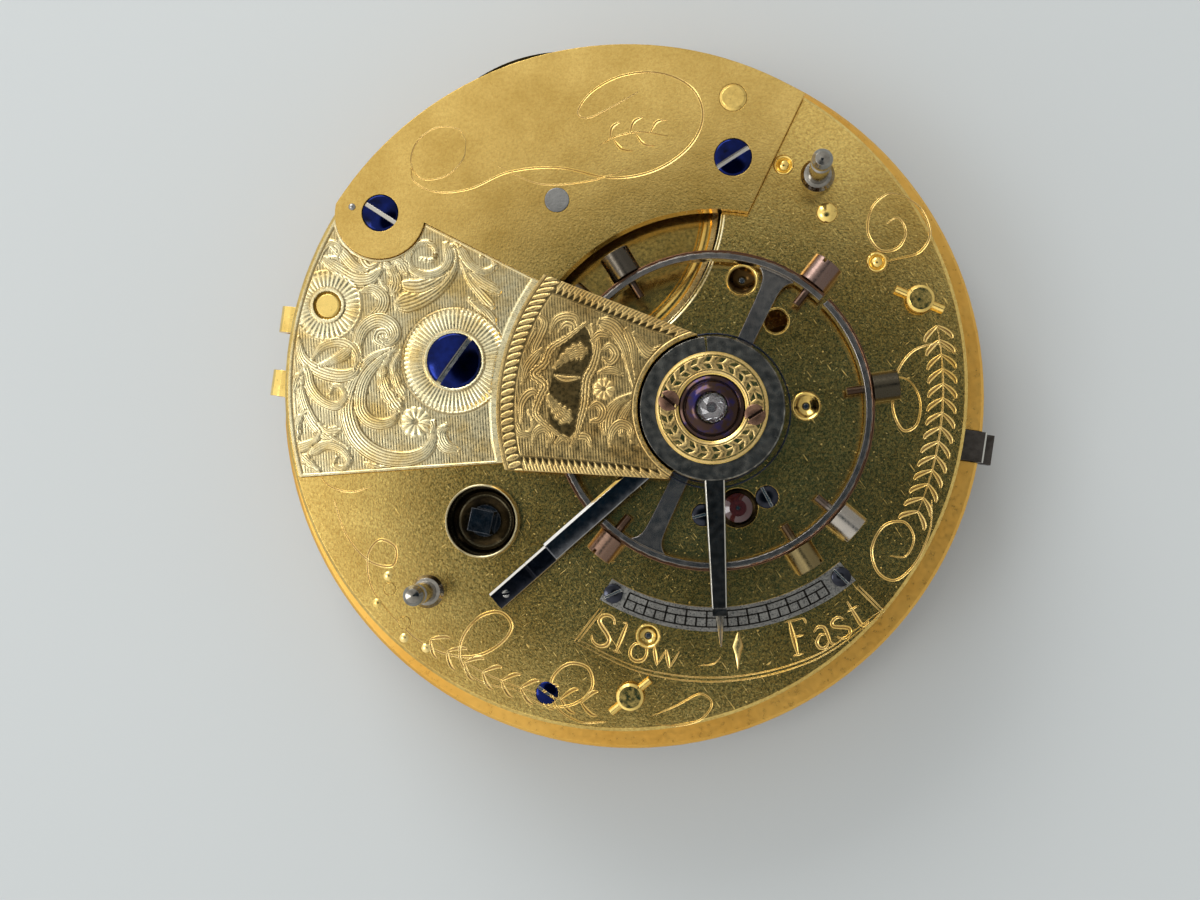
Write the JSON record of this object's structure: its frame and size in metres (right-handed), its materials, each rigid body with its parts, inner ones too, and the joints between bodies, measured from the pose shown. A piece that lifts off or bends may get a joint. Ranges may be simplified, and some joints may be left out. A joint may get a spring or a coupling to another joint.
{
  "type": "pocket watch movement",
  "caption": "Full plate key-wound fusee lever pocket watch movement with engraved balance cock, cut balance, regulator, chain, going train and motion work.",
  "frame": {"origin": "on the plate axis, in the lower plane of the brass edge where the dial seats", "axes": "+Z from the dial side up to the top plate, +X towards the bolt side (six o'clock lies 8.7 degrees below it), +Y completes it"},
  "size_m": [0.0469, 0.0448, 0.0185],
  "materials": {
    "gilt_brass": "frosted mercury gilding",
    "blued_steel": "heat blued and polished",
    "dark_steel": "greyed and polished",
    "polished_steel": "polished",
    "bimetal": "polished brass rim over steel",
    "ruby": "polished jewel",
    "clear_stone": "faceted end stone"
  },
  "bodies": {
    "frame": {"brass_edge": "gilt_brass", "dial_side_screws": "polished_steel", "pillar_plate": "gilt_brass", "pillars": "gilt_brass", "pillar_pins": "gilt_brass", "top_plate": "gilt_brass", "barrel_bridge": "gilt_brass", "bridge_screws": "blued_steel", "balance_cock": "gilt_brass", "cock_screw": "dark_steel", "cock_jewel_ring": "gilt_brass", "jewel_ring_screws": "dark_steel", "end_stone_setting": "blued_steel", "end_stone": "clear_stone", "ruby_jewels": "ruby", "index_scale": "polished_steel", "scale_screws": "dark_steel", "stud_arm": "dark_steel", "hairspring": "blued_steel", "dust_cap_studs": "gilt_brass", "winding_cup": "gilt_brass", "escape_jewel_setting": "dark_steel", "plate_screws": "blued_steel", "plate_bushes": "gilt_brass", "potence": "gilt_brass", "barrel_arbor": "polished_steel", "setup_ratchet": "polished_steel", "setup_click": "polished_steel", "fusee_chain": "dark_steel", "case_joint": "gilt_brass", "stop_stud": "gilt_brass"},
    "barrel": {"barrel": "gilt_brass", "barrel_cover": "gilt_brass", "mainspring": "blued_steel"},
    "great": {"great_wheel": "gilt_brass", "maintaining_ratchet": "polished_steel"},
    "fusee": {"fusee_cone": "gilt_brass", "fusee_arbor": "polished_steel"},
    "centre": {"centre_wheel": "gilt_brass", "centre_arbor": "polished_steel", "cannon_pinion": "polished_steel"},
    "third": {"third_wheel": "gilt_brass", "third_arbor": "polished_steel"},
    "fourth": {"fourth_wheel": "gilt_brass", "fourth_arbor": "polished_steel"},
    "escape": {"escape_wheel": "polished_steel", "escape_arbor": "polished_steel"},
    "lever": {"lever": "polished_steel", "pallets": "polished_steel", "pallet_arbor": "polished_steel"},
    "balance": {"balance_wheel": "bimetal", "balance_screws": "bimetal", "balance_staff": "polished_steel", "roller": "polished_steel"},
    "regulator": {"regulator": "dark_steel"},
    "bolt": {"bolt": "dark_steel"},
    "detent": {"maintaining_detent": "polished_steel"},
    "stop": {"stop_finger": "polished_steel"},
    "minute": {"minute_wheel": "gilt_brass"},
    "hour": {"hour_wheel": "gilt_brass"}
  },
  "joints": [
    {"name": "fourth_turn", "type": "hinge", "parent": "frame", "child": "fourth", "pos_m": [0.01094, -0.0012, 0.005], "axis": [0, 0, 1], "continuous": true},
    {"name": "third_turn", "type": "hinge", "parent": "frame", "child": "third", "pos_m": [0.00723, 0.00626, 0.005], "axis": [0, 0, 1], "continuous": true},
    {"name": "centre_turn", "type": "hinge", "parent": "frame", "child": "centre", "pos_m": [0, 0, 0.004], "axis": [0, 0, 1], "continuous": true},
    {"name": "great_turn", "type": "hinge", "parent": "frame", "child": "great", "pos_m": [-0.00812, -0.00794, 0.0048], "axis": [0, 0, 1], "continuous": true},
    {"name": "escape_turn", "type": "hinge", "parent": "frame", "child": "escape", "pos_m": [0.00695, -0.00717, 0.007], "axis": [0, 0, 1], "continuous": true},
    {"name": "minute_turn", "type": "hinge", "parent": "frame", "child": "minute", "pos_m": [0.00205, -0.00564, 0.0019], "axis": [0, 0, 1], "continuous": true},
    {"name": "hour_turn", "type": "hinge", "parent": "frame", "child": "hour", "pos_m": [0, 0, 0.001], "axis": [0, 0, 1], "continuous": true},
    {"name": "winding", "type": "hinge", "parent": "great", "child": "fusee", "pos_m": [-0.00812, -0.00794, 0.007], "axis": [0, 0, 1], "range_deg": [-570, 612], "deforming": ["fusee_chain"]},
    {"name": "barrel_turn", "type": "hinge", "parent": "frame", "child": "barrel", "pos_m": [-0.00366, 0.01103, 0.007], "axis": [0, 0, 1], "range_deg": [-400, 400], "deforming": ["mainspring"]},
    {"name": "lever_rock", "type": "hinge", "parent": "frame", "child": "lever", "pos_m": [0.00285, -0.00531, 0.0074], "axis": [0, 0, 1], "range_deg": [-5, 5]},
    {"name": "balance_swing", "type": "hinge", "parent": "frame", "child": "balance", "pos_m": [0.00546, -0.00152, 0.0122], "axis": [0, 0, 1], "range_deg": [-270, 270], "stiffness_Nm_per_rad": 0.0000002, "deforming": ["hairspring"]},
    {"name": "regulator_turn", "type": "hinge", "parent": "frame", "child": "regulator", "pos_m": [0.00546, -0.00152, 0.0143], "axis": [0, 0, 1], "range_deg": [-25, 25]},
    {"name": "bolt_slide", "type": "slide", "parent": "frame", "child": "bolt", "axis": [0.9885, -0.1513, 0], "range_m": [-0.0008, 0], "stiffness_N_per_m": 200},
    {"name": "detent_lift", "type": "hinge", "parent": "frame", "child": "detent", "pos_m": [0.00166, -0.01468, 0.0053], "axis": [0, 0, 1], "range_deg": [0, 8], "stiffness_Nm_per_rad": 0.0005},
    {"name": "stop_lift", "type": "hinge", "parent": "frame", "child": "stop", "pos_m": [-0.0133, -0.013, 0.009], "axis": [-0.7071, 0.7071, 0], "range_deg": [-6, 0], "stiffness_Nm_per_rad": 0.0005}
  ],
  "couplings": [
    {"joint": "third_turn", "follows": "fourth_turn", "ratio": -0.13333},
    {"joint": "centre_turn", "follows": "fourth_turn", "ratio": 0.016667},
    {"joint": "great_turn", "follows": "fourth_turn", "ratio": -0.0033333},
    {"joint": "escape_turn", "follows": "fourth_turn", "ratio": -8},
    {"joint": "minute_turn", "follows": "fourth_turn", "ratio": -0.0055556},
    {"joint": "hour_turn", "follows": "fourth_turn", "ratio": 0.0013889},
    {"joint": "barrel_turn", "follows": "winding", "ratio": 0.62}
  ]
}
